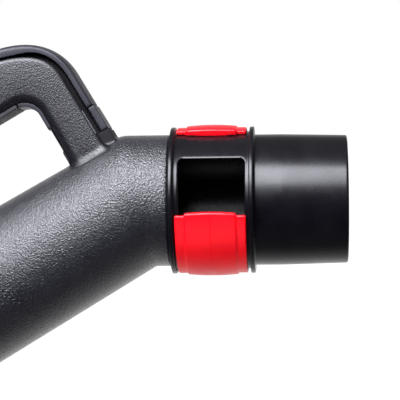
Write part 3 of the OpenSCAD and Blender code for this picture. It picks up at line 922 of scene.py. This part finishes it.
def grained_plastic():
    """Black moulded plastic, pebbled where the mesh's grain is 1 and smooth where it is 0.

    It is dull where the grain is CREVICE, and painted a lighter grey, a painted highlight, where the grain is
    above 1, as on the latch bead.
    """
    f = Finish("grained_black_plastic")
    mask = f.attribute("grain")
    painted_highlight = f.span(mask, 1.0, BEAD_HIGHLIGHT, 0.0, 1.0)
    grain = f.math("SUBTRACT", f.span(mask, 0.0, 1.0, 0.0, 1.0), painted_highlight)
    pores = f.math("MULTIPLY", f.noise(0.48, 2.0, 0.4), 1.1)
    pebble = f.math("ADD", f.math("MULTIPLY", f.cells(0.8), 0.8), pores)
    height = f.math("MULTIPLY", pebble, grain)
    speckle = f.span(f.noise(0.9, 2.0), 0.35, 0.65, 0.0, 1.0)
    tone = f.blend(speckle, linear(13, 13, 17), linear(28, 28, 34))
    dust = f.span(f.noise(26, 3.0), 0.4, 0.75, 0.0, 0.25)
    colour = f.blend(grain, linear(7, 7, 11), f.blend(dust, tone, linear(36, 36, 42)))
    # painted highlight: the latch bead is made a lighter grey
    colour = f.blend(painted_highlight, colour, linear(74, 74, 80))
    rough = f.span(f.noise(0.6, 2.0), 0.3, 0.7, 0.29, 0.43)
    smooth = f.span(f.noise(5, 3.0), 0.3, 0.7, 0.4, 0.48)
    mixed = f.math("ADD", f.math("MULTIPLY", rough, grain),
                   f.math("MULTIPLY", smooth, f.math("SUBTRACT", 1.0, grain)))
    crevice = f.span(mask, CREVICE, -0.1, 0.95, 0.0)
    normal = f.bump(height, 0.27, f.bump(f.noise(0.3, 1.0), 0.004))
    inputs = f.shader.inputs
    inputs["Specular IOR Level"].default_value = 0.45
    inputs["Coat Roughness"].default_value = 0.26
    f.link(f.math("MULTIPLY", grain, 0.9), inputs["Coat Weight"])
    f.link(normal, inputs["Coat Normal"])
    return f.finish(colour, f.math("MAXIMUM", mixed, crevice), normal)


def glossy_plastic(name, dark, light, rough_low, rough_high, wave=0.012, specular=0.5):
    """Smooth moulded plastic with faint flow marks, handling haze and fine scuffs."""
    f = Finish(name)
    f.shader.inputs["Specular IOR Level"].default_value = specular
    colour = f.blend(f.span(f.noise(14, 3.0), 0.35, 0.7, 0.0, 1.0), dark, light)
    haze = f.span(f.noise(9, 4.0, 0.8), 0.35, 0.7, rough_low, rough_high)
    flow = f.bump(f.noise(7, 1.0), wave * 3)
    return f.finish(colour, haze, f.bump(f.noise(0.5, 2.0), wave / 4, flow))


def rubber(name, dark, light):
    """Matt rubber with a fine tooth."""
    f = Finish(name)
    colour = f.blend(f.span(f.noise(3, 4.0), 0.35, 0.65, 0.0, 1.0), dark, light)
    tooth = f.bump(f.noise(0.5, 3.0), 0.05)
    return f.finish(colour, f.span(f.noise(2, 2.0), 0.3, 0.7, 0.55, 0.75), tooth)


def acetal():
    """Slippery white plastic, slightly translucent."""
    f = Finish("acetal_white")
    tone = f.span(f.noise(6, 3.0), 0.3, 0.7, 0.0, 1.0)
    colour = f.blend(tone, linear(222, 221, 214), linear(236, 235, 230))
    f.shader.inputs["Subsurface Weight"].default_value = 0.1
    rough = f.span(f.noise(1.5, 3.0), 0.3, 0.7, 0.3, 0.45)
    return f.finish(colour, rough, f.bump(f.noise(0.4, 2.0), 0.006))


def steel():
    """Zinc-plated steel."""
    f = Finish("plated_steel")
    f.shader.inputs["Metallic"].default_value = 1.0
    tone = f.span(f.noise(1.2, 4.0), 0.35, 0.65, 0.0, 1.0)
    colour = f.blend(tone, linear(128, 130, 134), linear(168, 169, 171))
    rough = f.span(f.noise(0.7, 4.0), 0.3, 0.7, 0.24, 0.42)
    return f.finish(colour, rough, f.bump(f.noise(0.25, 2.0), 0.006))


# -------- studio

FLOOR_NEAR, FLOOR_FAR, FLOOR_SIDE, FLOOR_LEVEL = -1.2, 1.15, 1.3, -0.26      # metres
COOL = (0.97, 0.98, 1.07)            # colour of the lights
AIM = (-0.04, 0.0, 0.0)              # where the lights point, in metres
WALL, ROOM, CEILING = 1.1, 0.02, 0.23      # brightness of each, as the object sees it
TABLE, TABLE_RIM = 0.5, 0.82         # that of the table, and how steeply down it begins
CAMERA_AT = (19.0, -768.1, 0.1)
CAMERA_YAW_DEG, CAMERA_ROLL_DEG, CAMERA_LENS = 3.266, 0.6, 154.2


def make_floor():
    """Pale floor, seen from above only. It is clear from below, so that views from below see the part."""
    mesh = bpy.data.meshes.new("floor")
    near = [(x, FLOOR_NEAR, FLOOR_LEVEL) for x in (-FLOOR_SIDE, FLOOR_SIDE)]
    far = [(x, FLOOR_FAR, FLOOR_LEVEL) for x in (FLOOR_SIDE, -FLOOR_SIDE)]
    mesh.from_pydata(near + far, [], [(0, 1, 2, 3)])
    floor = bpy.data.objects.new("floor", mesh)
    bpy.context.scene.collection.objects.link(floor)
    f = Finish("pale_floor")
    tone = f.span(f.noise(120, 3.0), 0.3, 0.7, 0.0, 1.0)
    colour = f.blend(tone, linear(238, 238, 237), linear(246, 246, 246))
    f.finish(colour, f.span(f.noise(20, 3.0), 0.3, 0.7, 0.7, 0.8), f.bump(f.noise(1.5, 2.0), 0.02))
    clear = f.nodes.new("ShaderNodeBsdfTransparent")
    sides = f.nodes.new("ShaderNodeMixShader")
    f.links.new(f.nodes.new("ShaderNodeNewGeometry").outputs["Backfacing"], sides.inputs[0])
    f.links.new(f.shader.outputs[0], sides.inputs[1])
    f.links.new(clear.outputs[0], sides.inputs[2])
    f.links.new(sides.outputs[0], f.nodes["Material Output"].inputs["Surface"])
    mesh.materials.append(f.material)
    floor.visible_glossy = False      # the gloss mirrors the dim room instead, as over a dark table
    floor.visible_diffuse = False
    floor.visible_shadow = False      # lets the low fill through from below


def make_softbox(name, azimuth, elevation, distance, size, radiance, spread):
    """Rectangular light aimed at the grip, with angles in degrees and lengths in metres.

    Azimuth 0 is the camera's side, and a positive one is to its left.
    """
    a, e = math.radians(azimuth), math.radians(elevation)
    away = Vector((-math.sin(a) * math.cos(e), -math.cos(a) * math.cos(e), math.sin(e)))
    light = bpy.data.lights.new(name, "AREA")
    light.shape = "RECTANGLE"
    light.size, light.size_y = size
    light.energy = radiance * math.pi * size[0] * size[1]
    light.spread = math.radians(spread)
    light.color = COOL
    box = bpy.data.objects.new(name, light)
    box.location = Vector(AIM) + away * distance
    box.rotation_euler = away.to_track_quat("Z", "Y").to_euler()
    bpy.context.scene.collection.objects.link(box)
    return box


def make_world():
    """White surroundings for the camera. The object sees a dim room, a white wall behind it, and a table."""
    world = bpy.data.worlds.new("studio")
    bpy.context.scene.world = world
    world.use_nodes = True
    nodes, links = world.node_tree.nodes, world.node_tree.links

    def calculate(operation, a, b):
        node = nodes.new("ShaderNodeMath")
        node.operation = operation
        feed(links, a, node.inputs[0])
        feed(links, b, node.inputs[1])
        return node.outputs[0]

    direction = nodes.new("ShaderNodeSeparateXYZ")
    links.new(nodes.new("ShaderNodeTexCoord").outputs["Generated"], direction.inputs[0])
    height = calculate("MAXIMUM", direction.outputs["Z"], 0.0)
    wall = calculate("MULTIPLY", calculate("SUBTRACT", direction.outputs["Y"], height), WALL)
    depth = calculate("MAXIMUM", calculate("SUBTRACT", -TABLE_RIM, direction.outputs["Z"]), 0.0)
    room = calculate("ADD", calculate("MULTIPLY", height, CEILING), ROOM)
    room = calculate("ADD", calculate("MULTIPLY", depth, TABLE), room)
    around = calculate("MAXIMUM", wall, room)
    seen = nodes.new("ShaderNodeLightPath").outputs["Is Camera Ray"]
    links.new(calculate("MAXIMUM", seen, around), nodes["Background"].inputs["Strength"])
    nodes["Background"].inputs["Color"].default_value = (1.0, 1.0, 1.0, 1.0)


def make_camera():
    """Camera square to the grip's side, turned slightly left and rolled slightly."""
    yaw, roll = math.radians(CAMERA_YAW_DEG), math.radians(CAMERA_ROLL_DEG)
    forward = Vector((-math.sin(yaw), math.cos(yaw), 0))
    level = Vector((math.cos(yaw), math.sin(yaw), 0))
    up = Vector((0, 0, 1))
    right = level * math.cos(roll) - up * math.sin(roll)
    top = level * math.sin(roll) + up * math.cos(roll)
    data = bpy.data.cameras.new("camera")
    data.sensor_width = 36
    data.lens = CAMERA_LENS
    camera = bpy.data.objects.new("camera", data)
    turn = Matrix((right, top, -forward)).transposed().to_4x4()
    camera.matrix_world = Matrix.Translation(Vector(CAMERA_AT) * MM) @ turn
    bpy.context.scene.collection.objects.link(camera)
    bpy.context.scene.camera = camera


# -------- assembly

materials = {
    "grain": grained_plastic(),
    "spout": glossy_plastic("gloss_black_plastic", linear(6, 6, 10), linear(11, 11, 15), 0.25, 0.3,
                            0.003, 0.35),
    "red": glossy_plastic("red_plastic", linear(228, 3, 20), linear(238, 6, 24), 0.3, 0.38, 0.006, 0.4),
    "strip": glossy_plastic("satin_black_plastic", linear(30, 30, 36), linear(42, 42, 48), 0.4, 0.5,
                            0.008, 0.32),
    "cuff": glossy_plastic("cuff_black_plastic", linear(22, 22, 25), linear(34, 34, 37), 0.3, 0.4),
    "duct": glossy_plastic("duct_grey_plastic", linear(20, 20, 23), linear(30, 30, 33), 0.35, 0.5),
    "pad": rubber("pad_rubber", linear(34, 34, 37), linear(44, 44, 47)),
    "rubber": rubber("seal_rubber", linear(22, 22, 24), linear(32, 32, 34)),
    "acetal": acetal(),
    "steel": steel(),
}

make_spout(materials["spout"])
make_ring(materials["red"])
make_shells(materials["grain"])
make_strips(materials["strip"])
make_linings(materials["strip"], materials["pad"])
make_rear(materials)
finish_duct(materials["duct"])
make_screws(materials["steel"])

make_floor()
make_softbox("key_softbox", 22, 44.8, 1.1, (1.1, 0.72), 8.9, 120)
make_softbox("low_softbox", 21, 18, 1.1, (0.82, 0.26), 2.2, 140)
fill = make_softbox("low_fill", 10, -52, 1.2, (1.2, 0.9), 2.3, 150)
fill.visible_glossy = False      # lifts the shaded side without a highlight of its own
make_world()
make_camera()
bpy.context.scene.view_settings.view_transform = "Standard"
